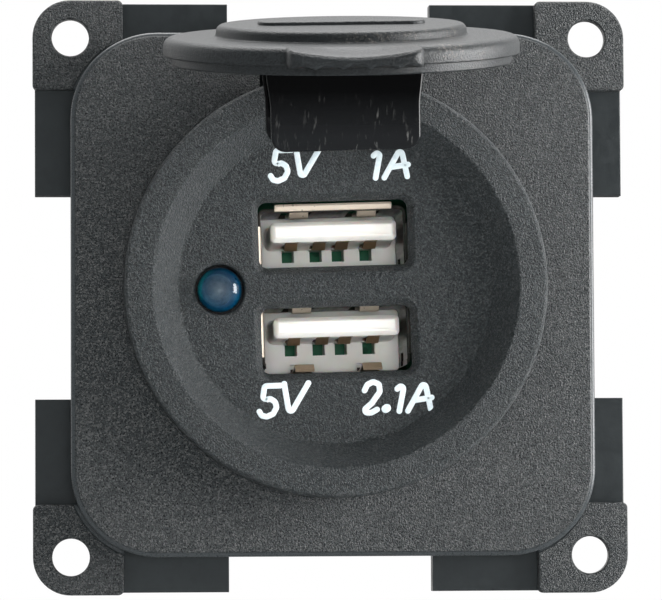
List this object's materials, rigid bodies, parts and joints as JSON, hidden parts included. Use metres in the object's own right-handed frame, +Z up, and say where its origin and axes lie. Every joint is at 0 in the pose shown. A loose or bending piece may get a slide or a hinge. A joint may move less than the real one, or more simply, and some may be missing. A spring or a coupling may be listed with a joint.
{
  "type": "dual usb socket",
  "caption": "Panel charging socket with two stacked ports and a lamp in a round recess, on a square screw-on plate, with a hinged rubber dust cap standing open.",
  "frame": {"origin": "centre of the four fixing holes, on the front face of their tabs", "axes": "+X to the right, +Z up, the front and the ports look towards -Y; fixing screws run along Y"},
  "size_m": [0.0528, 0.079, 0.0528],
  "materials": {
    "plate_plastic": "coarse-grained black plastic",
    "body_plastic": "fine-grained black plastic",
    "nut_plastic": "plain black plastic",
    "rubber": "satin black rubber",
    "shell_steel": "plated sheet steel",
    "white_plastic": "white moulded plastic",
    "contact_gold": "thin gold over bronze",
    "lamp_blue": "clear blue resin",
    "tinned_wire": "tinned",
    "board_green": "solder resist on laminate",
    "ferrite": "sintered ferrite",
    "copper_wire": "enamelled copper",
    "can": "sleeved aluminium can",
    "chip_black": "epoxy",
    "cover_plastic": "plain black plastic",
    "terminal_brass": "tinned brass"
  },
  "bodies": {
    "base": {"module_plate": "plate_plastic", "socket_body": "body_plastic", "ring_nut": "nut_plastic", "cap_anchor": "rubber", "usb_shell_upper": "shell_steel", "usb_shell_lower": "shell_steel", "usb_insulator_upper": "white_plastic", "usb_insulator_lower": "white_plastic", "usb_contacts_upper": "contact_gold", "usb_contacts_lower": "contact_gold", "led_lens": "lamp_blue", "led_leads": "tinned_wire", "port_board": "board_green", "converter_board": "board_green", "board_pins": "tinned_wire", "inductor_core": "ferrite", "inductor_winding": "copper_wire", "input_capacitor": "can", "output_capacitor": "can", "converter_chip": "chip_black", "diode": "chip_black", "rear_cover": "cover_plastic", "terminal_positive": "terminal_brass", "terminal_negative": "terminal_brass"},
    "cap": {"cap": "rubber"}
  },
  "joints": [
    {"name": "cap_hinge", "type": "hinge", "parent": "base", "child": "cap", "pos_m": [-0.00037, -0.0026, 0.01759], "axis": [0.9996, 0, 0.0279], "range_deg": [-5, 79.5], "stiffness_Nm_per_rad": 0.01}
  ]
}
